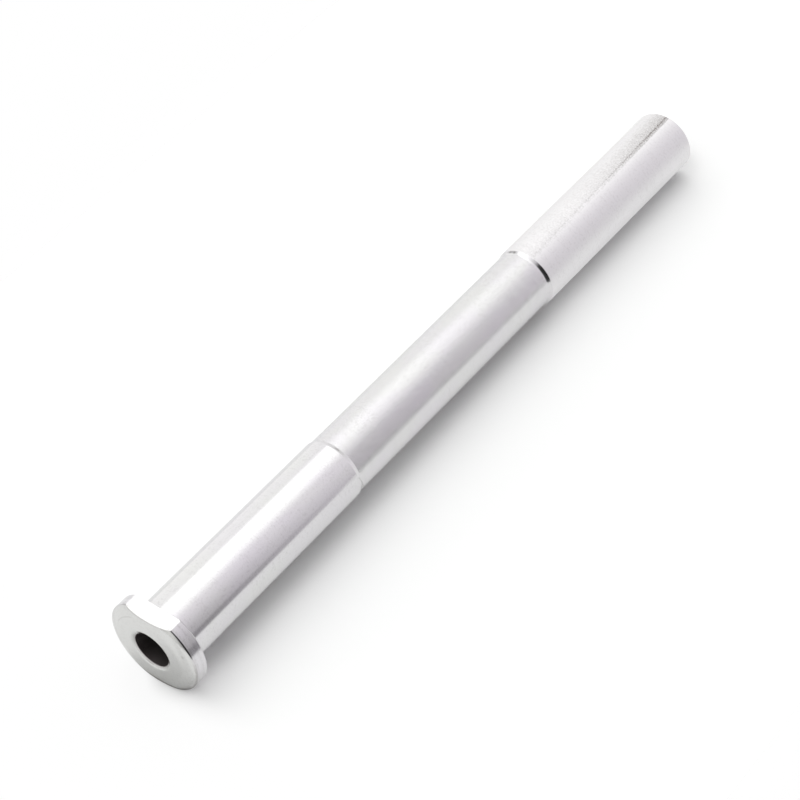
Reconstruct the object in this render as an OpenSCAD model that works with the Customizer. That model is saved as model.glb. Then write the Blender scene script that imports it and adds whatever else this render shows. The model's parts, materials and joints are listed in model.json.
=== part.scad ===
// Rear wheel axle, turned and bored from one steel bar.
// The head has a rounded front face and two spanner flats. The shank has two bearing
// seats with a relieved waist between them, and its bore is sized for tapping at the plain end.
// The axle lies along +Y with its flats level. The origin is where the axis meets the
// head's seat face, so the head reaches towards -Y and the shank towards +Y.

/* [Head] */
// Diameter of the rim
head_d = 22; // [20:0.1:30]
// Distance across the two spanner flats
across_flats = 18.7; // [17:0.1:19.5]
// Thickness of the rim, from the seat face to the front edge
rim_l = 3.3; // [2:0.1:8]
// How far the front face stands proud of the rim
crown_l = 1; // [0.4:0.1:2]
// Radius that rounds the front face over to the rim
crown_r = 5; // [3:0.1:8]
// Edge break along both edges of the rim
rim_break = 0.3; // [0.1:0.05:0.6]

/* [Shank] */
// Diameter of both bearing seats
seat_d = 15; // [12:0.1:16]
// Length of the bearing seat beside the head
head_seat_l = 53; // [30:0.5:90]
// Length of the waist, with the tapers at its ends
waist_l = 70; // [20:0.5:140]
// Length of the bearing seat at the plain end
end_seat_l = 57.5; // [30:0.5:90]
// Depth of the waist below the seats, on the radius
waist_depth = 0.3; // [0.1:0.05:0.8]
// Length of the taper from the head's seat down to the waist
head_taper_l = 0.8; // [0.2:0.1:5]
// Length of the taper from the waist up to the end seat
end_taper_l = 0.9; // [0.2:0.1:5]
// Radius in the corner between the head and its seat
corner_r = 0.4; // [0.2:0.1:0.8]
// Chamfer around the plain end
end_chamfer = 0.5; // [0.2:0.1:1]

/* [Bore] */
// Diameter of the bore, which is the tapping size for the thread at the plain end
bore_d = 8.5; // [4:0.1:9]
// Countersink at the head, on the radius
head_sink = 0.8; // [0.2:0.1:1.5]
// Depth of the countersink at the head
head_sink_l = 0.4; // [0.2:0.1:1]
// Countersink at the plain end, on the radius, wide enough to clear the thread
end_sink = 0.9; // [0.2:0.1:1]

/* [Hidden] */
$fn = 128;
// How far a cutting shape runs past the face that it cuts
overcut = 1;

head_r = head_d / 2;
seat_r = seat_d / 2;
waist_r = seat_r - waist_depth;
bore_r = bore_d / 2;

// The front edge break is half as wide as it is long, because the rounded face already slopes
crown_edge_r = head_r - rim_break / 2;
// Where the flat middle of the front face ends and its rounding starts
face_r = crown_edge_r - sqrt(2 * crown_r * crown_l - crown_l * crown_l);

// Stations along the axis, from the front face to the plain end
front_y = -rim_l - crown_l;
waist_start_y = head_seat_l;
waist_end_y = waist_start_y + waist_l;
end_y = waist_end_y + end_seat_l;

// Half section of the rim, with its edge breaks
module rim_section() {
    polygon([
        [0, -rim_l],
        [crown_edge_r, -rim_l],
        [head_r, -rim_l + rim_break],
        [head_r, -rim_break],
        [head_r - rim_break, 0],
        [0, 0],
    ]);
}

// Half section of the front face: a flat middle that a circle rounds over to the rim
module crown_section() {
    intersection() {
        translate([0, front_y]) square([crown_edge_r, crown_l]);
        union() {
            translate([0, front_y]) square([face_r, crown_l]);
            translate([face_r, front_y + crown_r]) circle(crown_r);
        }
    }
}

// Half section of the shank: head seat, taper, waist, taper, end seat
module shank_section() {
    polygon([
        [0, 0],
        [seat_r, 0],
        [seat_r, waist_start_y],
        [waist_r, waist_start_y + head_taper_l],
        [waist_r, waist_end_y - end_taper_l],
        [seat_r, waist_end_y],
        [seat_r, end_y - end_chamfer],
        [seat_r - end_chamfer, end_y],
        [0, end_y],
    ]);
}

// Half section of the fillet that the turning tool leaves under the head
module corner_section() {
    translate([seat_r, 0]) difference() {
        square(corner_r);
        translate([corner_r, corner_r]) circle(corner_r);
    }
}

// Half section of the through bore and its two countersinks
module bore_section() {
    polygon([
        [0, front_y - overcut],
        [bore_r + head_sink * (1 + overcut / head_sink_l), front_y - overcut],
        [bore_r, front_y + head_sink_l],
        [bore_r, end_y - end_sink],
        [bore_r + end_sink + overcut, end_y + overcut],
        [0, end_y + overcut],
    ]);
}

// The turned piece before the flats are milled
module turned_blank() {
    rotate([-90, 0, 0]) rotate_extrude() difference() {
        union() {
            crown_section();
            rim_section();
            shank_section();
            corner_section();
        }
        bore_section();
    }
}

// What the cutter takes off the top and the bottom of the head, and off nothing else
module spanner_cuts() {
    for (turn = [0, 180]) {
        rotate([0, turn, 0])
            translate([-head_d, front_y - overcut, across_flats / 2])
                cube([2 * head_d, overcut - front_y, head_r]);
    }
}

module axle() {
    color("gainsboro") difference() {
        turned_blank();
        spanner_cuts();
    }
}

axle();
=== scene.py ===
"""Rear wheel axle, turned and bored from one bar and plated bright.

The file is laid out as an add-on and run as a script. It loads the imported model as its
frame, makes the axle as one turned surface with its thread and finish, and sets a plain
stage around it. The axle lies along +Y, with its head towards -Y and its flats level.
"""

import json
import math

import bpy
import numpy as np
from bpy.props import FloatProperty, FloatVectorProperty, PointerProperty
from mathutils import Matrix, Vector


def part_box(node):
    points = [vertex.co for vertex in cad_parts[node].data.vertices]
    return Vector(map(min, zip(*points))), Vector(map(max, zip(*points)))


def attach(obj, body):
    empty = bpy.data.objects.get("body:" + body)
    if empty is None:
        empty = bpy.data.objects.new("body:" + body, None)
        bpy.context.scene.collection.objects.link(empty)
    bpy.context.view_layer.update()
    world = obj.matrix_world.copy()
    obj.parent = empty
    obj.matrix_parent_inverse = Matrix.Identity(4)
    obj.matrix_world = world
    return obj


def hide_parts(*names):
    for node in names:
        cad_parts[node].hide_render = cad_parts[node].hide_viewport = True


bl_info = {
    "name": "Rear Wheel Axle",
    "version": (1, 0, 0),
    "blender": (4, 5, 0),
    "location": "View3D > Sidebar > Axle",
    "description": "Makes a turned and plated rear wheel axle, and a plain stage for it",
    "category": "Object",
}

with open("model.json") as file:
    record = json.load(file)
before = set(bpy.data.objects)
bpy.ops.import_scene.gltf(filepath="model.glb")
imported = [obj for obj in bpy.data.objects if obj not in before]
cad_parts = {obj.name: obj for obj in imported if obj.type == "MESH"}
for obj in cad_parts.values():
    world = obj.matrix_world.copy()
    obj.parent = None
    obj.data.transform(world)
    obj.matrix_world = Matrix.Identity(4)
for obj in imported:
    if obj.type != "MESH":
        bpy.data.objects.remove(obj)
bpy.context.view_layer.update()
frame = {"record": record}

# One millimetre in scene units
MM = 0.001


def mount(name):
    """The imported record's mount of that name."""
    return next(entry for entry in frame["record"]["mounts"] if entry["name"] == name)


def seat_ends(name):
    """Where a bearing seat starts and ends along the axis: its middle less and plus half its length."""
    seat = mount(name)
    half = seat["dims"]["length_mm"] * MM / 2
    return seat["pos_m"][1] - half, seat["pos_m"][1] + half


AXLE_LOW, AXLE_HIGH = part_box("axle")


class AxleSizes(bpy.types.PropertyGroup):
    """Sizes of the turned piece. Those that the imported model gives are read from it."""

    head_radius: FloatProperty(
        name="Head radius",
        description="Radius of the head's rim",
        default=AXLE_HIGH.x,
        unit="LENGTH",
    )
    flat_height: FloatProperty(
        name="Flat height",
        description="Distance from the axis to each spanner flat",
        default=AXLE_HIGH.z,
        unit="LENGTH",
    )
    front: FloatProperty(
        name="Front face",
        description="Place of the head's front face along the axis",
        default=AXLE_LOW.y,
        unit="LENGTH",
    )
    end: FloatProperty(
        name="Plain end",
        description="Place of the plain end along the axis",
        default=AXLE_HIGH.y,
        unit="LENGTH",
    )
    seat_radius: FloatProperty(
        name="Seat radius",
        description="Radius of both bearing seats",
        default=mount("head_bearing_seat")["dims"]["r_mm"] * MM,
        unit="LENGTH",
    )
    bore_radius: FloatProperty(
        name="Bore radius",
        description="Radius of the through bore",
        default=mount("bore")["dims"]["r_mm"] * MM,
        unit="LENGTH",
    )
    waist_start: FloatProperty(
        name="Waist start",
        description="Where the seat beside the head ends",
        default=seat_ends("head_bearing_seat")[1],
        unit="LENGTH",
    )
    waist_end: FloatProperty(
        name="Waist end",
        description="Where the seat at the plain end starts",
        default=seat_ends("end_bearing_seat")[0],
        unit="LENGTH",
    )
    rim_length: FloatProperty(
        name="Rim length",
        description="Thickness of the rim, from the seat face to the front edge",
        default=3.3 * MM,
        unit="LENGTH",
    )
    crown_radius: FloatProperty(
        name="Crown radius",
        description="Radius that rounds the front face over to the rim",
        default=5 * MM,
        unit="LENGTH",
    )
    front_round: FloatProperty(
        name="Front edge",
        description="Radius that breaks the front edge of the rim",
        default=0.375 * MM,
        unit="LENGTH",
    )
    flat_round: FloatProperty(
        name="Flat edge",
        description="Radius that breaks the front edge of each flat",
        default=0.1 * MM,
        unit="LENGTH",
    )
    flat_corner: FloatProperty(
        name="Flat corner",
        description="How far the corner between a flat and the rim is softened, on the radius",
        default=0.05 * MM,
        unit="LENGTH",
    )
    rim_chamfer: FloatProperty(
        name="Rim chamfer",
        description="Chamfer along the rim's back edge",
        default=0.3 * MM,
        unit="LENGTH",
    )
    flat_chamfer: FloatProperty(
        name="Flat chamfer",
        description="Edge break along the back edge of each flat",
        default=0.08 * MM,
        unit="LENGTH",
    )
    corner_round: FloatProperty(
        name="Corner radius",
        description="Fillet between the head and its seat",
        default=0.4 * MM,
        unit="LENGTH",
    )
    waist_depth: FloatProperty(
        name="Waist depth",
        description="Depth of the waist below the seats, on the radius",
        default=0.3 * MM,
        unit="LENGTH",
    )
    head_taper: FloatProperty(
        name="Head taper",
        description="Length of the taper from the head's seat down to the waist",
        default=0.8 * MM,
        unit="LENGTH",
    )
    end_taper: FloatProperty(
        name="End taper",
        description="Length of the taper from the waist up to the end seat",
        default=0.9 * MM,
        unit="LENGTH",
    )
    taper_round: FloatProperty(
        name="Taper rounding",
        description="Radius along the edges of both tapers",
        default=0.8 * MM,
        unit="LENGTH",
    )
    taper_foot: FloatProperty(
        name="Taper foot",
        description="Radius where the waist runs up into the end taper",
        default=2.0 * MM,
        unit="LENGTH",
    )
    end_chamfer: FloatProperty(
        name="End chamfer",
        description="Chamfer around the plain end",
        default=0.5 * MM,
        unit="LENGTH",
    )
    edge_round: FloatProperty(
        name="Edge rounding",
        description="Radius along the edges of the end chamfer and the countersinks",
        default=0.1 * MM,
        unit="LENGTH",
    )
    head_sink: FloatProperty(
        name="Head countersink",
        description="Countersink of the bore at the head, on the radius",
        default=0.8 * MM,
        unit="LENGTH",
    )
    head_sink_depth: FloatProperty(
        name="Head countersink depth",
        description="Depth of the countersink at the head",
        default=0.4 * MM,
        unit="LENGTH",
    )
    mouth_round: FloatProperty(
        name="Mouth rounding",
        description="Radius between the front face and its countersink",
        default=0.4 * MM,
        unit="LENGTH",
    )
    end_sink: FloatProperty(
        name="End countersink",
        description="Countersink of the bore at the plain end, on the radius",
        default=0.9 * MM,
        unit="LENGTH",
    )
    thread_pitch: FloatProperty(
        name="Thread pitch",
        description="Pitch of the thread in the plain end",
        default=1.5 * MM,
        unit="LENGTH",
    )
    thread_depth: FloatProperty(
        name="Thread depth",
        description="Depth of the thread's groove below the bore",
        default=0.75 * MM,
        unit="LENGTH",
    )
    thread_length: FloatProperty(
        name="Thread length",
        description="Length of the thread from the plain end",
        default=25 * MM,
        unit="LENGTH",
    )


class AxleFinish(bpy.types.PropertyGroup):
    """Colours and textures of the plated steel."""

    plating: FloatVectorProperty(
        name="Plating",
        description="Colour of the bright plating",
        default=(0.68, 0.678, 0.675),
        subtype="COLOR",
        min=0.0,
        max=1.0,
    )
    plating_tint: FloatVectorProperty(
        name="Plating tint",
        description="Colour that the plating drifts towards in patches",
        default=(0.68, 0.668, 0.685),
        subtype="COLOR",
        min=0.0,
        max=1.0,
    )
    face_colour: FloatVectorProperty(
        name="Front face",
        description="Colour of the plating on the head's front face",
        default=(0.668, 0.667, 0.657),
        subtype="COLOR",
        min=0.0,
        max=1.0,
    )
    satin_colour: FloatVectorProperty(
        name="Satin seat",
        description="Colour of the plating on the satin seat at the plain end",
        default=(0.81, 0.8, 0.807),
        subtype="COLOR",
        min=0.0,
        max=1.0,
    )
    # Darker than the plating for the drilled wall, and partly painted shade inside the hole
    bore_colour_and_shade: FloatVectorProperty(
        name="Bore",
        description="Colour of the drilled wall of the bore",
        default=(0.235, 0.21, 0.21),
        subtype="COLOR",
        min=0.0,
        max=1.0,
    )
    # Also the colour of the painted shade and painted dark reflections on the head, the tapers and the end
    # seat
    mark_and_shade_colour: FloatVectorProperty(
        name="Marks",
        description="Colour of the tool lines, scratches and scuffs",
        default=(0.2, 0.18, 0.17),
        subtype="COLOR",
        min=0.0,
        max=1.0,
    )
    ground_roughness: FloatProperty(
        name="Ground roughness",
        description="Roughness of the head and its seat",
        default=0.15,
        min=0.0,
        max=1.0,
        subtype="FACTOR",
    )
    waist_roughness: FloatProperty(
        name="Waist roughness",
        description="Roughness of the waist between the seats",
        default=0.18,
        min=0.0,
        max=1.0,
        subtype="FACTOR",
    )
    satin_roughness: FloatProperty(
        name="Satin roughness",
        description="Roughness of the seat at the plain end",
        default=0.46,
        min=0.0,
        max=1.0,
        subtype="FACTOR",
    )
    bore_roughness: FloatProperty(
        name="Bore roughness",
        description="Roughness of the drilled wall of the bore",
        default=0.5,
        min=0.0,
        max=1.0,
        subtype="FACTOR",
    )


class AxleStage(bpy.types.PropertyGroup):
    """The floor, the light and the camera."""

    floor_colour: FloatVectorProperty(
        name="Floor",
        description="Colour of the floor",
        default=(0.965, 0.974, 0.965),
        subtype="COLOR",
        min=0.0,
        max=1.0,
    )
    panel_radiance: FloatProperty(
        name="Light panel",
        description="Brightness of the soft panel overhead, where 1 is white",
        default=1.68,
        min=0.0,
    )
    floor_glow: FloatProperty(
        name="Floor glow",
        description="How much brighter than the light on it the floor is shown, up to white",
        default=0.14,
        min=0.0,
    )
    wall_radiance: FloatProperty(
        name="Walls",
        description="Brightness of the white wall behind the axle, where 1 is white",
        default=1.2,
        min=0.0,
    )
    camera_place: FloatVectorProperty(
        name="Camera place",
        description="Where the camera stands",
        default=(222.42 * MM, -183.78 * MM, 355.59 * MM),
        subtype="TRANSLATION",
    )
    camera_aim: FloatVectorProperty(
        name="Camera aim",
        description="The point that the camera looks at",
        default=(-0.522 * MM, 77.122 * MM, 0.0),
        subtype="TRANSLATION",
    )
    camera_roll: FloatProperty(
        name="Camera roll",
        description="How far the camera is turned about its own line of sight",
        default=math.radians(-4.734),
        subtype="ANGLE",
    )
    camera_lens: FloatProperty(
        name="Camera lens",
        description="Focal length on a 36 mm sensor",
        default=104.135,
        unit="CAMERA",
    )


# Shader expressions


class Wire:
    """A shader socket that takes part in Python arithmetic: each operator adds a Math node."""

    def __init__(self, tree, socket):
        self.tree = tree
        self.socket = socket

    @classmethod
    def made(cls, tree, kind, settings=None, sockets=None, output=0):
        """Adds a node of that type, sets it up, fills its sockets and returns one of its outputs."""
        node = tree.nodes.new(kind)
        for name, value in (settings or {}).items():
            if name == "stops":
                cls.set_stops(node.color_ramp, value)
            else:
                setattr(node, name, value)
        for key, value in (sockets or {}).items():
            if isinstance(value, Wire):
                tree.links.new(value.socket, node.inputs[key])
            else:
                node.inputs[key].default_value = value
        return cls(tree, node.outputs[output]) if node.outputs else None

    @staticmethod
    def set_stops(ramp, stops):
        """Gives a ramp its stops, each a position and a colour."""
        for position, colour in stops[2:]:
            ramp.elements.new(position)
        for element, (position, colour) in zip(ramp.elements, stops):
            element.position = position
            element.color = (*colour, 1.0)

    def node(self, kind, settings=None, sockets=None, output=0):
        """Adds a node to this socket's tree."""
        return Wire.made(self.tree, kind, settings, sockets, output)

    def math(self, operation, *values):
        """Adds a Math node on these values."""
        return self.node("ShaderNodeMath", {"operation": operation}, dict(enumerate(values)))

    def __add__(self, other):
        return self.math("ADD", self, other)

    __radd__ = __add__

    def __sub__(self, other):
        return self.math("SUBTRACT", self, other)

    def __rsub__(self, other):
        return self.math("SUBTRACT", other, self)

    def __mul__(self, other):
        return self.math("MULTIPLY", self, other)

    __rmul__ = __mul__

    def __truediv__(self, other):
        return self.math("DIVIDE", self, other)

    def __pow__(self, other):
        return self.math("POWER", self, other)

    def step(self, start, end):
        """Rises smoothly from 0 at start to 1 at end, or falls where end is the smaller."""
        return self.node(
            "ShaderNodeMapRange",
            {"interpolation_type": "SMOOTHSTEP"},
            {"Value": self, "From Min": start, "From Max": end},
        )

    def near(self, middle, half, fade):
        """1 within half of the middle, falling smoothly to 0 over fade beyond it."""
        return self.math("ABSOLUTE", self - middle).step(half + fade, half)

    def mix(self, low, high):
        """The colour low where this value is 0, and high where it is 1."""
        low_key, high_key, colour_output = 6, 7, 2
        return self.node(
            "ShaderNodeMix",
            {"data_type": "RGBA"},
            {0: self, low_key: low, high_key: high},
            colour_output,
        )


def solid_colour(colour):
    """A colour property as a shader colour."""
    return (*colour, 1.0)


# The turned surface


def spread(count, pinch):
    """Positions from 0 to 1: even steps, and one more close to each end, to keep shading in its face."""
    inner = np.linspace(0.0, 1.0, count)
    return np.unique(np.concatenate([inner, [pinch, 1.0 - pinch]]))


def rounded_profile(corners, radii, row_length, arc_rows=6):
    """A section in the plane of radius and axis: straight runs joined by arcs tangent to both.

    Each arc starts radius times the tangent of half the turn before its corner, and its heading
    turns evenly from one run's to the next. The first and last corner stay as they are.
    """
    corners = np.asarray(corners, float)
    runs = np.diff(corners, axis=0)
    lengths = np.hypot(*runs.T)
    headings = np.unwrap(np.arctan2(runs[:, 1], runs[:, 0]))
    turns = np.diff(headings)
    setbacks = np.concatenate([[0.0], radii * np.tan(np.abs(turns) / 2), [0.0]])
    stretches = []
    for index, (heading, length) in enumerate(zip(headings, lengths)):
        along = np.array([math.cos(heading), math.sin(heading)])
        start = corners[index] + along * setbacks[index]
        straight = length - setbacks[index] - setbacks[index + 1]
        count = max(3, int(straight / row_length) + 2)
        pinch = min(0.2, 0.03 * MM / straight)
        stretches.append(start + np.outer(spread(count, pinch), along * straight))
        if index < len(turns):
            swept = heading + turns[index] * np.linspace(0.0, 1.0, arc_rows + 1)[1:-1]
            bend = radii[index] * np.sign(turns[index])
            aside = np.sin(swept) - math.sin(heading)
            ahead = math.cos(heading) - np.cos(swept)
            stretches.append(stretches[-1][-1] + bend * np.stack([aside, ahead], axis=1))
    return np.concatenate(stretches)


def rim_radius(turn, sizes):
    """The head's outline: the smaller of the rim's radius and the flat's distance, blended where they meet.

    The flat lies at its height over the sine of the turn. Within a small difference of the two,
    the smaller is lowered by the square of what is missing to that difference, over four times it.
    """
    flat = sizes.flat_height / np.maximum(np.abs(np.sin(turn)), 1e-6)
    missing = np.maximum(sizes.flat_corner - np.abs(flat - sizes.head_radius), 0.0)
    return np.minimum(flat, sizes.head_radius) - missing**2 / (4 * sizes.flat_corner)


def mouth_radius(sizes):
    """Where the front face starts: past the countersink by a third of the radius that rounds its edge."""
    return sizes.bore_radius + sizes.head_sink + sizes.mouth_round / 3


def column_turns(sizes, columns=192):
    """Angles about the axis: even steps, with more of them close to the four corners of the flats."""
    corner = math.asin(sizes.flat_height / sizes.head_radius)
    corners = np.array([corner, math.pi - corner, math.pi + corner, 2 * math.pi - corner])
    close = np.radians([-0.9, -0.5, -0.25, 0.0, 0.25, 0.5, 0.9])
    even = np.arange(columns) * (2 * math.pi / columns)
    away = np.min(np.abs(even[:, None] - corners), axis=1) > np.radians(1.2)
    return np.sort(np.concatenate([even[away], (corners[:, None] + close).ravel()]))


def head_rows(turn, sizes):
    """Rows of the head, from the countersink's edge over the front face and the rim to the seat face.

    The front face is flat up to a circle, then a circular arc of the crown radius. Its edge is an
    arc that starts at the crown's own slope and ends along the axis. Every row ends at the outline
    of the rim and the flats, so each flat's front edge bows forward on the crown.
    """
    rim = rim_radius(turn, sizes)
    crown_length = -sizes.front - sizes.rim_length
    edge_sine = math.sqrt(1 - (1 - crown_length / sizes.crown_radius) ** 2)
    edge_start = sizes.head_radius - sizes.front_round * (1 - edge_sine)
    face_radius = edge_start - sizes.crown_radius * edge_sine

    def front_at(radius):
        """Height of the front face at a radius: flat, then down along the crown's arc."""
        out = np.maximum(radius - face_radius, 0.0)
        return sizes.front + sizes.crown_radius - np.sqrt(sizes.crown_radius**2 - out**2)

    on_flat = np.clip((sizes.head_radius - rim) / (sizes.head_radius - edge_start), 0.0, 1.0)
    edge = sizes.front_round + (sizes.flat_round - sizes.front_round) * on_flat
    share = edge / sizes.crown_radius
    crown_end = (rim - edge - share * face_radius) / (1 - share)
    slope = np.arcsin(np.maximum(crown_end - face_radius, 0.0) / sizes.crown_radius)

    mouth = mouth_radius(sizes)
    across = spread(34, 0.01)[:, None]
    face_r = mouth + across * (crown_end - mouth)
    face_y = front_at(face_r)

    swing = np.linspace(0.0, 1.0, 7)[1:, None]
    heading = slope + swing * (math.pi / 2 - slope)
    edge_r = rim - edge * (1 - np.sin(heading))
    edge_y = face_y[-1] + edge * (np.cos(slope) - np.cos(heading))

    room = rim - sizes.head_radius + sizes.rim_chamfer
    chamfer = np.clip(room, sizes.flat_chamfer, sizes.rim_chamfer)
    down = spread(7, 0.02)[1:, None]
    side_y = edge_y[-1] + down * (-chamfer - edge_y[-1])
    side_r = np.broadcast_to(rim, side_y.shape)

    facet = spread(3, 0.12)[1:, None]
    facet_r = rim - facet * chamfer
    facet_y = (facet - 1) * chamfer

    fillet_top = sizes.seat_radius + sizes.corner_round
    inward = spread(9, 0.02)[1:-1, None]
    seat_r = facet_r[-1] + inward * (fillet_top - facet_r[-1])
    seat_y = np.zeros_like(seat_r)

    radius = np.concatenate([face_r, edge_r, side_r, facet_r, seat_r])
    along = np.concatenate([face_y, edge_y, side_y, facet_y, seat_y])
    return radius, along


def shank_section(sizes):
    """Section of the shank, from its fillet under the head to the countersink's rim at the plain end."""
    waist = sizes.seat_radius - sizes.waist_depth
    corners = [
        (sizes.seat_radius + sizes.corner_round * 1.02, 0.0),
        (sizes.seat_radius, 0.0),
        (sizes.seat_radius, sizes.waist_start),
        (waist, sizes.waist_start + sizes.head_taper),
        (waist, sizes.waist_end - sizes.end_taper),
        (sizes.seat_radius, sizes.waist_end),
        (sizes.seat_radius, sizes.end - sizes.end_chamfer),
        (sizes.seat_radius - sizes.end_chamfer, sizes.end),
        (sizes.bore_radius + sizes.end_sink, sizes.end),
        (sizes.bore_radius + sizes.end_sink - sizes.edge_round, sizes.end - sizes.edge_round),
    ]
    taper_edges = [sizes.taper_round, sizes.taper_round, sizes.taper_foot, sizes.taper_round]
    end_edges = [sizes.edge_round] * 3
    radii = np.array([sizes.corner_round, *taper_edges, *end_edges])
    return rounded_profile(corners, radii, 3 * MM)


def thread_groove(phase):
    """Depth of a 60 degree groove over one pitch, from 0 at the crest to 1 along its narrow floor."""
    floor_half, flank = 1 / 16, 0.29
    off_middle = np.abs(np.mod(phase, 1.0) - 0.5)
    return np.clip((floor_half + flank - off_middle) / flank, 0.0, 1.0)


def bore_rows(turn, sizes):
    """Rows of the bore, from the plain end through the thread to the countersink at the head.

    The radius is the larger of the countersink's cone and the thread, which is a groove along the
    helix where axial place over pitch less turns is constant. The groove runs out over two pitches.
    """
    start = sizes.end - sizes.edge_round * 1.2
    stop = sizes.end - sizes.thread_length
    rows_per_pitch = 10
    count = int((start - stop) / sizes.thread_pitch * rows_per_pitch)
    along = np.linspace(start, stop, count)[:, None]
    fade = np.clip((along - stop) / (2 * sizes.thread_pitch), 0.0, 1.0)
    groove = thread_groove(along / sizes.thread_pitch - turn / (2 * math.pi))
    cone = sizes.bore_radius + sizes.end_sink - (sizes.end - along)
    threaded = np.maximum(cone, sizes.bore_radius + sizes.thread_depth * fade * groove)

    corners = [
        (sizes.bore_radius, stop - 0.1 * MM),
        (sizes.bore_radius, sizes.front + sizes.head_sink_depth),
        (sizes.bore_radius + sizes.head_sink, sizes.front),
        (mouth_radius(sizes), sizes.front),
    ]
    plain = rounded_profile(corners, np.array([sizes.edge_round, sizes.mouth_round]), 12 * MM)[:-1]
    width = len(turn)
    radius = np.concatenate([threaded, np.repeat(plain[:, :1], width, axis=1)])
    place = np.concatenate([np.repeat(along, width, axis=1), np.repeat(plain[:, 1:], width, axis=1)])
    return radius, place


def closed_grid_mesh(name, points):
    """A mesh of quads over a grid of points that closes on itself both ways, like a ring."""
    rows, columns = points.shape[:2]
    index = np.arange(rows * columns).reshape(rows, columns)
    below = np.roll(index, -1, axis=0)
    quads = np.stack([index, below, np.roll(below, -1, axis=1), np.roll(index, -1, axis=1)], axis=-1)
    mesh = bpy.data.meshes.new(name)
    mesh.from_pydata(points.reshape(-1, 3).tolist(), [], quads.reshape(-1, 4).tolist())
    mesh.shade_smooth()
    mesh.set_sharp_from_angle(angle=math.radians(38))
    return mesh


def axle_mesh(sizes):
    """The whole axle as one closed ring: head, shank and bore, with each row carried about the axis."""
    turn = column_turns(sizes)
    head_radius, head_along = head_rows(turn, sizes)
    shank = shank_section(sizes)
    bore_radius, bore_along = bore_rows(turn, sizes)
    radius = np.concatenate([head_radius, np.repeat(shank[:, :1], len(turn), axis=1), bore_radius])
    along = np.concatenate([head_along, np.repeat(shank[:, 1:], len(turn), axis=1), bore_along])
    points = np.stack([radius * np.cos(turn), along, radius * np.sin(turn)], axis=-1)
    return closed_grid_mesh("turned_axle", points)


# The finish


def steel_place(tree):
    """Where a point of the surface lies: x, y, z and radius in millimetres, and turn in degrees."""
    place = Wire.made(tree, "ShaderNodeTexCoord", output=3)
    axes = [place.node("ShaderNodeSeparateXYZ", sockets={0: place}, output=axis) for axis in range(3)]
    x, y, z = [axis / MM for axis in axes]
    radius = (x * x + z * z) ** 0.5
    turn = place.math("ARCTAN2", z, x) * (180 / math.pi)
    return x, y, z, radius, turn


def noise(vector, detail=2.0, roughness=0.5):
    """Grey noise from 0 to 1 over a point of three values, about one blotch to each unit."""
    wire = vector[0]
    point = wire.node("ShaderNodeCombineXYZ", sockets=dict(enumerate(vector)))
    return wire.node(
        "ShaderNodeTexNoise",
        sockets={"Vector": point, "Scale": 1.0, "Detail": detail, "Roughness": roughness},
    )


# Marks and painted shade on the steel, in millimetres and degrees, and their depth as a share of their
# colour

# The feed lines of the waist: their pitch, and the slope of their flanks
FEED_PITCH = 0.12
FEED_SLOPE = 0.28
# A dark streak painted along the end seat as the reflection of a dark line, with painted shade in a skirt
# beside it that dims the seat's highlight: its start and its end, as place along the axis and turn, the
# width of its core, and how far the skirt beside it reaches
STREAK_START = (138.0, 75.5)
STREAK_END = (180.0, 83.2)
STREAK_WIDTH = 0.45
STREAK_SKIRT = 5.5
# A dark line on the taper at the head's seat: place along the axis, the turns it spans, its depth
# there, and its depth all around
TAPER_MARK_PLACE = 53.4
TAPER_MARK_TURNS = (74.0, 76.0)
TAPER_MARK_DEPTH = 0.34
TAPER_MARK_TRACE = 0.02
# Painted shade at the taper's foot beside that line, where it mirrors the waist's dark side: how far
# past it, how far it drifts along the axis with each degree, the middle and the half of the turns it
# spans, and its depth
TAPER_FOOT_SHADE_PAST = 0.45
TAPER_FOOT_SHADE_DRIFT = 0.04
TAPER_FOOT_SHADE_TURNS = (-5.0, 18.0)
TAPER_FOOT_SHADE_DEPTH = 0.28
# Two dents on the taper at the end seat: place along the axis, and the turn and depth of each
DENT_PLACE = 122.5
DENTS = ((119.5, 0.45), (109.8, 0.45))
# A turning scratch on the front face: its radius, the turns it spans and its depth
FACE_SCRATCH_RADIUS = 8.7
FACE_SCRATCH_TURNS = (116.0, 153.0)
FACE_SCRATCH_DEPTH = 0.25
# Dark lines painted along the head's edges as shade and reflections of dark surroundings: their depth along
# the rim's front edge, how much deeper they are there from the middle down, and their depth along the front
# edges of the flats
RIM_EDGE_SHADE = 0.15
RIM_EDGE_SHADE_BELOW = 0.35
FLAT_EDGE_SHADE = 0.14
# The tool's feed lines on the rim: their pitch, where one of them rises, and their depth
RIM_WAVE_PITCH = 1.4
RIM_WAVE_START = -3.0
RIM_WAVE_DEPTH = 0.09
# A nick in the front face, and a stain at the mouth of the bore: radius, turn and depth
NICK = (9.54, 24.6, 0.22)
STAIN = (4.65, -104.0, 0.3)
# The shade in the countersink at the head: the radii that it fades between, and its depth
SINK_FADE = (4.95, 4.3)
SINK_SHADE = 0.4
# The shade on the head: along the foot of its face, over the face's lower half, at its left edge and
# under the rim
FOOT_SHADE = 0.9
LOWER_SHADE = 0.12
LEFT_SHADE = 0.45
UNDER_SHADE = 0.22


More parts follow.
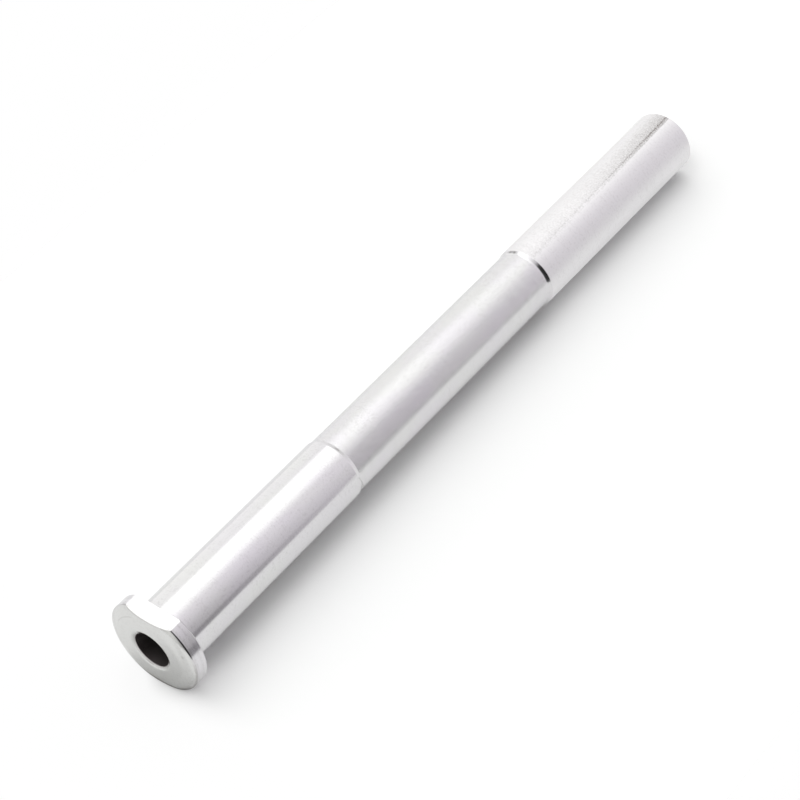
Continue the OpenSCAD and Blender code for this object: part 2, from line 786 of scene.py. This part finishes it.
def painted_streak_and_dimming(y, turn, grain, seat_radius):
    """How strong the painted streak is: a core painted as a dark reflection and a soft skirt of painted
    shade beside it, which both grow towards the plain end.

    The distance beside it is the turn past the streak's own line, times the seat's radius. Grain
    breaks it up, and the skirt reaches back over the whole seat, where it dims the highlight.
    """
    slope = (STREAK_END[1] - STREAK_START[1]) / (STREAK_END[0] - STREAK_START[0])
    line = (y - STREAK_START[0]) * slope + STREAK_START[1]
    beside = (turn - line) * (math.pi / 180 * seat_radius)
    core = beside.near(0.0, STREAK_WIDTH * 0.5, STREAK_WIDTH)
    skirt = beside.step(-0.1, 0.4) * beside.step(STREAK_SKIRT, 0.2)
    growth = y.step(STREAK_START[0], STREAK_END[0] + 4)
    broken = grain.step(0.4, 0.62)
    solid = growth * 0.5 + (1 - growth * 0.5) * broken
    drawn = core * solid * (0.15 + growth * 0.6)
    return drawn + skirt * (0.5 + broken * 0.5) * (0.2 + growth * 0.4)


def painted_edge_shade(y, z, radius, sizes):
    """How strong the lines of painted shade are: along the rim's front edge and along the front edges of the
    flats.
    """
    rim_front = -sizes.rim_length / MM
    flat_height = sizes.flat_height / MM
    head_radius = sizes.head_radius / MM
    on_rim = y.near(rim_front + 0.15, 0.12, 0.2) * radius.step(head_radius - 0.8, head_radius - 0.5)
    on_front = y.step(rim_front - 0.1, rim_front - 0.4)
    on_flat = z.math("ABSOLUTE", z).near(flat_height - 0.2, 0.1, 0.12) * on_front
    on_rim = on_rim * (RIM_EDGE_SHADE + z.step(4.0, 0.0) * RIM_EDGE_SHADE_BELOW)
    return on_rim + on_flat * FLAT_EDGE_SHADE


def head_shade(x, y, z, radius, sizes):
    """How dark the head is at its edges: along the front face's foot and left edge, and under the rim.

    The shade on the face grows as the way inwards from its edge shrinks, which is the smaller of
    the distances to the rim and to the lower flat.
    """
    rim_front = -sizes.rim_length / MM
    head_radius = sizes.head_radius / MM
    inwards = z.math("MINIMUM", head_radius - radius, z + sizes.flat_height / MM)
    foot = inwards.step(1.35, 0.55) * z.step(-4.5, -8.5) * FOOT_SHADE
    lower = inwards.step(3.2, 1.0) * z.step(1.0, -5.0) * LOWER_SHADE
    left = inwards.step(2.0, 0.6) * x.step(-2.0, -6.0) * z.step(1.0, -4.0) * LEFT_SHADE
    on_face = (foot + lower + left) * y.step(rim_front + 0.2, rim_front - 0.1)
    on_rim = radius.step(head_radius - 0.6, head_radius - 0.3) * y.step(rim_front, rim_front + 0.3)
    return on_face + on_rim * z.step(-1.5, -6.0) * UNDER_SHADE


def taper_marks_and_shade(y, turn):
    """How strong the marks on the two tapers are: a dark line, painted shade at its foot, and the dents."""
    start, stop = TAPER_MARK_TURNS
    turns = turn.step(start - 4, start) * turn.step(stop + 10, stop)
    mark = y.near(TAPER_MARK_PLACE, 0.1, 0.2) * (TAPER_MARK_TRACE + turns * TAPER_MARK_DEPTH)
    drifted = (y + turn * TAPER_FOOT_SHADE_DRIFT).near(TAPER_MARK_PLACE + TAPER_FOOT_SHADE_PAST, 0.08, 0.25)
    taper_foot_shade = drifted * turn.near(*TAPER_FOOT_SHADE_TURNS, 6.0) * TAPER_FOOT_SHADE_DEPTH
    dents = sum(turn.near(place, 1.0, 1.5) * depth for place, depth in DENTS)
    return mark + taper_foot_shade + dents * y.near(DENT_PLACE, 0.15, 0.25)


def face_marks(y, radius, turn, grain, sizes):
    """How strong the marks on the front face are: a scratch, a nick, a stain and the countersink's shade."""
    rim_front = -sizes.rim_length / MM
    start, stop = FACE_SCRATCH_TURNS
    arc = turn.step(start - 5, start) * turn.step(stop + 3, stop)
    scratch = radius.near(FACE_SCRATCH_RADIUS, 0.05, 0.2) * arc * grain.step(0.3, 0.6)
    nick_radius, nick_turn, nick_depth = NICK
    nick = radius.near(nick_radius, 0.12, 0.15) * turn.near(nick_turn, 1.5, 1.5)
    stain_radius, stain_turn, stain_depth = STAIN
    stain = radius.near(stain_radius, 0.05, 0.15) * turn.near(stain_turn, 5.0, 12.0)
    sink = radius.step(*SINK_FADE) * SINK_SHADE
    marks = scratch * FACE_SCRATCH_DEPTH + nick * nick_depth + stain * stain_depth + sink
    return marks * y.step(rim_front - 0.1, rim_front - 0.3)


def bright_steel(sizes, finish):
    """Bright plating over fine turning marks: soft on the waist, satin on the end seat, dark in the bore."""
    material = bpy.data.materials.new("bright_steel")
    material.use_nodes = True
    tree = material.node_tree
    shader = tree.nodes["Principled BSDF"]
    x, y, z, radius, turn = steel_place(tree)
    turned = radius + y

    rim_front = -sizes.rim_length / MM
    waist_start = sizes.waist_start / MM
    waist_end = sizes.waist_end / MM
    end_half = (sizes.end - sizes.waist_end) / MM / 2
    head_radius = sizes.head_radius / MM
    bore_radius = sizes.bore_radius / MM
    groove_radius = bore_radius + sizes.thread_depth / MM
    satin = y.step(waist_end - 0.1, waist_end + 0.1)
    waist = y.step(waist_start, waist_start + sizes.head_taper / MM) * (1 - satin)
    inside = radius.step(bore_radius + 0.12, bore_radius + 0.02)
    in_end = y.near(waist_end + end_half, end_half - 0.75, 0.3)
    threaded = radius.step(groove_radius + 0.2, groove_radius + 0.1) * in_end
    bored = inside.math("MAXIMUM", inside, threaded)

    fine_lines = noise((turned * 6.0, x * 0.12, z * 0.12))
    broad_lines = noise((turned * 0.75, x * 0.03, z * 0.03))
    patches = noise((x * 0.16, y * 0.07, z * 0.16), detail=3.0)
    grain = noise((x * 2.0, y * 2.0, z * 2.0), detail=3.0, roughness=0.6)
    speckle = noise((x * 3.5, y * 3.0, z * 3.5), detail=2.0, roughness=0.6)
    wave = y.math("SINE", (y - RIM_WAVE_START) * (2 * math.pi / RIM_WAVE_PITCH))
    rim_wave = wave * radius.step(head_radius - 0.4, head_radius - 0.1) * RIM_WAVE_DEPTH

    tint = patches.step(0.35, 0.65)
    plating = tint.mix(solid_colour(finish.plating), solid_colour(finish.plating_tint))
    faced = y.step(rim_front + 0.3, rim_front - 0.1).mix(plating, solid_colour(finish.face_colour))
    sections = satin.mix(faced, solid_colour(finish.satin_colour))
    # The end seat's dark streak is a painted reflection, and its skirt is painted shade over the highlight
    streak_and_dimming = painted_streak_and_dimming(y, turn, speckle, sizes.seat_radius / MM) * satin
    # Painted shade and painted dark reflections along the head's edges and over its face
    painted_head_shade = painted_edge_shade(y, z, radius, sizes) + head_shade(x, y, z, radius, sizes)
    # The tapers' marks include painted shade at the foot of the taper beside the head's seat
    marks = streak_and_dimming + painted_head_shade + taper_marks_and_shade(y, turn) + face_marks(y, radius, turn, grain, sizes)
    uneven = (0.5 - grain) * 0.5 + (0.5 - fine_lines) * 0.12 + (0.5 - broad_lines) * 0.15
    shade = marks + uneven + rim_wave
    marked = shade.math("MAXIMUM", shade, 0.0).mix(sections, solid_colour(finish.mark_and_shade_colour))
    # The bore's colour is partly painted shade inside the hole
    colour = bored.mix(marked, solid_colour(finish.bore_colour_and_shade))

    plated = finish.ground_roughness + waist * (finish.waist_roughness - finish.ground_roughness)
    plated = plated + satin * (finish.satin_roughness - finish.ground_roughness)
    varied = plated + (patches - 0.5) * 0.06 + (grain - 0.5) * 0.04
    roughness = varied + bored * (finish.bore_roughness - varied)

    scallop = y.math("FRACT", y / FEED_PITCH) - 0.5
    taper_start = waist_end - sizes.end_taper / MM
    fed = waist * y.step(taper_start, taper_start - 0.5)
    lines = fine_lines * (0.0006 + bored * 0.01) + scallop * scallop * fed * (FEED_PITCH * FEED_SLOPE)
    height = lines + broad_lines * 0.001 + grain * satin * 0.002
    bump = y.node("ShaderNodeBump", sockets={"Strength": 1.0, "Distance": MM, "Height": height})

    shader.inputs["Metallic"].default_value = 1.0
    tree.links.new(colour.socket, shader.inputs["Base Color"])
    tree.links.new(roughness.socket, shader.inputs["Roughness"])
    tree.links.new(bump.socket, shader.inputs["Normal"])
    return material


class AXLE_OT_turned_piece(bpy.types.Operator):
    """Make the axle as one turned, bored and milled piece"""

    bl_idname = "axle.turned_piece"
    bl_label = "Turned Axle"
    bl_options = {"REGISTER", "UNDO"}

    def execute(self, context):
        sizes = context.scene.axle_sizes
        axle = bpy.data.objects.new("turned_axle", axle_mesh(sizes))
        context.scene.collection.objects.link(axle)
        axle.data.materials.append(bright_steel(sizes, context.scene.axle_finish))
        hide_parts("axle")
        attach(axle, "root")
        return {"FINISHED"}


# The stage

# How far the floor reaches from its middle, and where it ends as seen, out from the axle
FLOOR_RADIUS = 0.8
FLOOR_EDGE = (88 * MM, 116 * MM)
# How much nearer that end lies on the right, as the head's seat mirrors it, and where this fades
EDGE_NEARER = 40 * MM
EDGE_NEARER_FADE = (108 * MM, 76 * MM)
# How far the floor's shadow is lifted towards white: ahead of the head as the camera sees it, ahead
# of the head as its face mirrors it, and beside the shank as the shank mirrors it
LIFT_AHEAD = 0.9
LIFT_FACED = 0.18
LIFT_MIRRORED = 0.62
# Where that last lift and the floor's own glow set in, out from the axle
LIFT_START = (3 * MM, 9.5 * MM)
GLOW_START = (5.5 * MM, 11.5 * MM)
# How much further in the camera sees the glow set in, beside the shank's far half and beside the head
GLOW_FURTHER_IN = 0.9 * MM

# The walls around the axle, as stops: direction in degrees from +X towards +Y, brightness
# as a share of the white wall's, and tint. The dark side of the room is behind the camera.
LILAC = (1.0, 0.967, 1.012)
WARM = (1.0, 1.0, 0.99)
WALL_STOPS = (
    (-180, 0.6, WARM),
    (-110, 0.7, WARM),
    (-80, 0.8, WARM),
    (-66, 0.35, WARM),
    (-50, 0.03, WARM),
    (5, 0.02, LILAC),
    (17, 0.08, LILAC),
    (21, 0.27, LILAC),
    (23.5, 0.42, LILAC),
    (25, 0.52, LILAC),
    (30, 0.71, LILAC),
    (40, 0.85, LILAC),
    (69, 0.83, LILAC),
    (100, 0.75, WARM),
    (130, 0.9, WARM),
    (158, 1.06, WARM),
    (161.5, 1.0, WARM),
    (164.5, 0.5, WARM),
    (167, 0.5, WARM),
    (170, 0.6, WARM),
    (180, 0.6, WARM),
)
# How much darker the walls are along their foot, to the right of the axle, and where this fades up
# the wall, towards the back and towards the left, in parts of a direction
SKIRTING = 0.4
SKIRTING_TOP = (0.14, 0.0)
SKIRTING_BACK = (0.52, 0.42)
SKIRTING_LEFT = (0.0, 0.3)
# The ceiling around the panel, and where the walls end below it, as the sine of a direction's elevation
CEILING = (0.95, 0.94, 0.95)
CEILING_START = 0.8

# The soft panel overhead, in shares of its height over the axle: how far each edge lies from
# straight overhead and how wide it fades. Its right edge leans back, and its back edge leans left.
PANEL_LEAN = 0.55
PANEL_RIGHT = (0.32, -0.43)
PANEL_LEFT = (-1.5, -1.06)
PANEL_BACK_LEAN = 0.22
PANEL_BACK = (1.0, 0.4)
PANEL_FRONT = (-0.9, -0.5)


def floor_height(along, sizes):
    """The floor touches the lower flat's back edge and the plain end's lower edge, so it slopes."""
    slope = (sizes.flat_height - sizes.seat_radius) / (sizes.end - sizes.end_chamfer)
    return -sizes.flat_height + slope * along


def floor_mesh(sizes, middle):
    """A round floor: a polar grid of rings about its middle, lifted to the floor's height."""
    ring = np.linspace(0.02, 1.0, 24)[:, None] * FLOOR_RADIUS
    turn = np.linspace(0.0, 2 * math.pi, 96, endpoint=False)
    along = middle + ring * np.sin(turn)
    points = np.stack([ring * np.cos(turn), along, floor_height(along, sizes)], axis=-1)
    index = np.arange(points.shape[0] * points.shape[1]).reshape(points.shape[:2])
    inner, outer = index[:-1], index[1:]
    quads = np.stack([inner, outer, np.roll(outer, -1, axis=1), np.roll(inner, -1, axis=1)], axis=-1)
    faces = quads.reshape(-1, 4).tolist() + [index[0].tolist()]
    mesh = bpy.data.meshes.new("floor")
    mesh.from_pydata(points.reshape(-1, 3).tolist(), [], faces)
    mesh.shade_smooth()
    return mesh


def floor_shine(x, y, away, camera, glossy):
    """Where the floor shows its glow: out from the axle, to the camera and to the steel.

    The steel doesn't mirror it close on the left of the head, nor ahead of the head's right half.
    """
    further_in = (y.step(55 * MM, 90 * MM) + y.step(12 * MM, 0.0) * 2) * GLOW_FURTHER_IN
    out = (away + camera * further_in).step(*GLOW_START)
    close_left = x.step(-10 * MM, -14 * MM) * y.step(8 * MM, 2 * MM) * y.step(-9 * MM, -5 * MM)
    ahead_right = x.step(1 * MM, 6 * MM) * x.step(13 * MM, 11 * MM) * y.step(0.0, -4 * MM)
    return out * (1 - glossy * (close_left + ahead_right))


def floor_lift(x, y, away, camera, glossy, front):
    """How far the floor's shadow is lifted towards white, for the camera and for the steel.

    Both lifts grow ahead of the head, and on its left they start further back along the axis. The
    steel also sees the shadow beside the shank lifted, out from the axle.
    """
    left = x.step(2 * MM, -8 * MM)
    ahead = (y - left * (6 * MM)).step(front + 4 * MM, front - 4 * MM)
    faced = (y - left * (10 * MM)).step(front, front - 8 * MM)
    beside = away.step(*LIFT_START) * y.step(0.0, 7 * MM)
    mirrored = faced * LIFT_FACED + beside * LIFT_MIRRORED
    return camera * ahead * LIFT_AHEAD + glossy * mirrored


def floor_material(sizes, stage):
    """A plain floor that keeps the axle's shadow, is shown white beyond it, and ends softly further out.

    How far away a place lies is taken level, from the nearest point of the axle's axis.
    """
    material = bpy.data.materials.new("floor")
    material.use_nodes = True
    tree = material.node_tree
    tree.nodes.clear()
    place = Wire.made(tree, "ShaderNodeTexCoord", output=3)
    x, y = [place.node("ShaderNodeSeparateXYZ", sockets={0: place}, output=axis) for axis in range(2)]
    middle = (sizes.front + sizes.end) / 2
    half = (sizes.end - sizes.front) / 2
    beyond = place.math("MAXIMUM", place.math("ABSOLUTE", y - middle) - half, 0.0)
    away = (x * x + beyond * beyond) ** 0.5
    camera = place.node("ShaderNodeLightPath")
    glossy = place.node("ShaderNodeLightPath", output=3)
    seen_by = camera.math("MAXIMUM", camera, glossy)

    shine = floor_shine(x, y, away, camera, glossy) * seen_by * stage.floor_glow
    glow = place.node("ShaderNodeEmission", sockets={"Color": shine})
    matte = place.node("ShaderNodeBsdfDiffuse", sockets={"Color": solid_colour(stage.floor_colour)})
    glowing = place.node("ShaderNodeAddShader", sockets={0: matte, 1: glow})
    white = place.node("ShaderNodeEmission", sockets={"Strength": 1.0})
    lift = floor_lift(x, y, away, camera, glossy, sizes.front)
    seen = place.node("ShaderNodeMixShader", sockets={0: lift, 1: glowing, 2: white})

    nearer = glossy * x.step(0.0, 30 * MM) * y.step(*EDGE_NEARER_FADE) * EDGE_NEARER
    ended = (away + nearer).step(*FLOOR_EDGE) * seen_by
    clear = place.node("ShaderNodeBsdfTransparent")
    mixed = place.node("ShaderNodeMixShader", sockets={0: ended, 1: seen, 2: clear})
    place.node("ShaderNodeOutputMaterial", sockets={"Surface": mixed})
    return material


def surroundings(world, stage):
    """White to the camera. To the axle and the floor: walls by direction, a ceiling and its soft panel."""
    world.use_nodes = True
    tree = world.node_tree
    tree.nodes.clear()
    place = Wire.made(tree, "ShaderNodeTexCoord")
    x, y, z = [place.node("ShaderNodeSeparateXYZ", sockets={0: place}, output=axis) for axis in range(3)]

    stops = []
    for direction, share, tint in WALL_STOPS:
        level = share * stage.wall_radiance
        stops.append((direction / 360 + 0.5, tuple(level * part for part in tint)))
    around = place.math("ARCTAN2", y, x) / (2 * math.pi) + 0.5
    walls = place.node("ShaderNodeValToRGB", {"stops": stops}, {0: around})

    height = z.math("MAXIMUM", z, 0.05)
    right = x / height
    back = y / height
    leaned = right - back * PANEL_LEAN
    across = leaned.step(*PANEL_RIGHT) * leaned.step(*PANEL_LEFT)
    along = (back + leaned * PANEL_BACK_LEAN).step(*PANEL_BACK) * back.step(*PANEL_FRONT)
    panel = across * along * z.step(0.0, 0.1)
    skirting = z.step(*SKIRTING_TOP) * y.step(*SKIRTING_BACK) * x.step(*SKIRTING_LEFT)
    low = (skirting * SKIRTING).mix(walls, solid_colour((0.0, 0.0, 0.0)))
    room = z.step(CEILING_START, 1.0).mix(low, solid_colour(CEILING))
    lit = panel.mix(room, solid_colour((stage.panel_radiance,) * 3))

    camera = place.node("ShaderNodeLightPath")
    shown = camera.mix(lit, solid_colour((1.0, 1.0, 1.0)))
    background = place.node("ShaderNodeBackground", sockets={"Color": shown, "Strength": 1.0})
    place.node("ShaderNodeOutputWorld", sockets={"Surface": background})


def photo_camera(stage):
    """A camera at its place that faces its aim, turned by its roll about the line of sight."""
    lens = bpy.data.cameras.new("camera")
    lens.sensor_width = 36.0
    lens.lens = stage.camera_lens
    camera = bpy.data.objects.new("camera", lens)
    place = Vector(stage.camera_place)
    sight = (Vector(stage.camera_aim) - place).to_track_quat("-Z", "Y").to_matrix().to_4x4()
    camera.matrix_world = Matrix.Translation(place) @ sight @ Matrix.Rotation(stage.camera_roll, 4, "Z")
    return camera


class AXLE_OT_stage(bpy.types.Operator):
    """Make the floor, the light, the surroundings and the camera"""

    bl_idname = "axle.stage"
    bl_label = "Stage"
    bl_options = {"REGISTER", "UNDO"}

    def execute(self, context):
        scene = context.scene
        stage = scene.axle_stage
        sizes = scene.axle_sizes
        middle = (sizes.front + sizes.end) / 2
        floor = bpy.data.objects.new("floor", floor_mesh(sizes, middle))
        floor.data.materials.append(floor_material(sizes, stage))
        camera = photo_camera(stage)
        for item in (floor, camera):
            scene.collection.objects.link(item)
        scene.world = scene.world or bpy.data.worlds.new("surroundings")
        surroundings(scene.world, stage)
        scene.camera = camera
        scene.view_settings.view_transform = "Standard"
        return {"FINISHED"}


class AXLE_PT_sidebar(bpy.types.Panel):
    """Lists the axle's operators and their values"""

    bl_label = "Rear Wheel Axle"
    bl_idname = "AXLE_PT_sidebar"
    bl_space_type = "VIEW_3D"
    bl_region_type = "UI"
    bl_category = "Axle"

    def draw(self, context):
        scene = context.scene
        listed = (
            (AXLE_OT_turned_piece, (scene.axle_sizes, scene.axle_finish)),
            (AXLE_OT_stage, (scene.axle_stage,)),
        )
        for operator, groups in listed:
            box = self.layout.box()
            box.operator(operator.bl_idname)
            for group in groups:
                for name in group.__annotations__:
                    box.prop(group, name)


CLASSES = (AxleSizes, AxleFinish, AxleStage, AXLE_OT_turned_piece, AXLE_OT_stage, AXLE_PT_sidebar)


def register():
    for item in CLASSES:
        bpy.utils.register_class(item)
    bpy.types.Scene.axle_sizes = PointerProperty(type=AxleSizes)
    bpy.types.Scene.axle_finish = PointerProperty(type=AxleFinish)
    bpy.types.Scene.axle_stage = PointerProperty(type=AxleStage)


def unregister():
    del bpy.types.Scene.axle_stage
    del bpy.types.Scene.axle_finish
    del bpy.types.Scene.axle_sizes
    for item in reversed(CLASSES):
        bpy.utils.unregister_class(item)


def main():
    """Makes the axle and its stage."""
    register()
    bpy.ops.axle.turned_piece()
    bpy.ops.axle.stage()


if __name__ == "__main__":
    main()
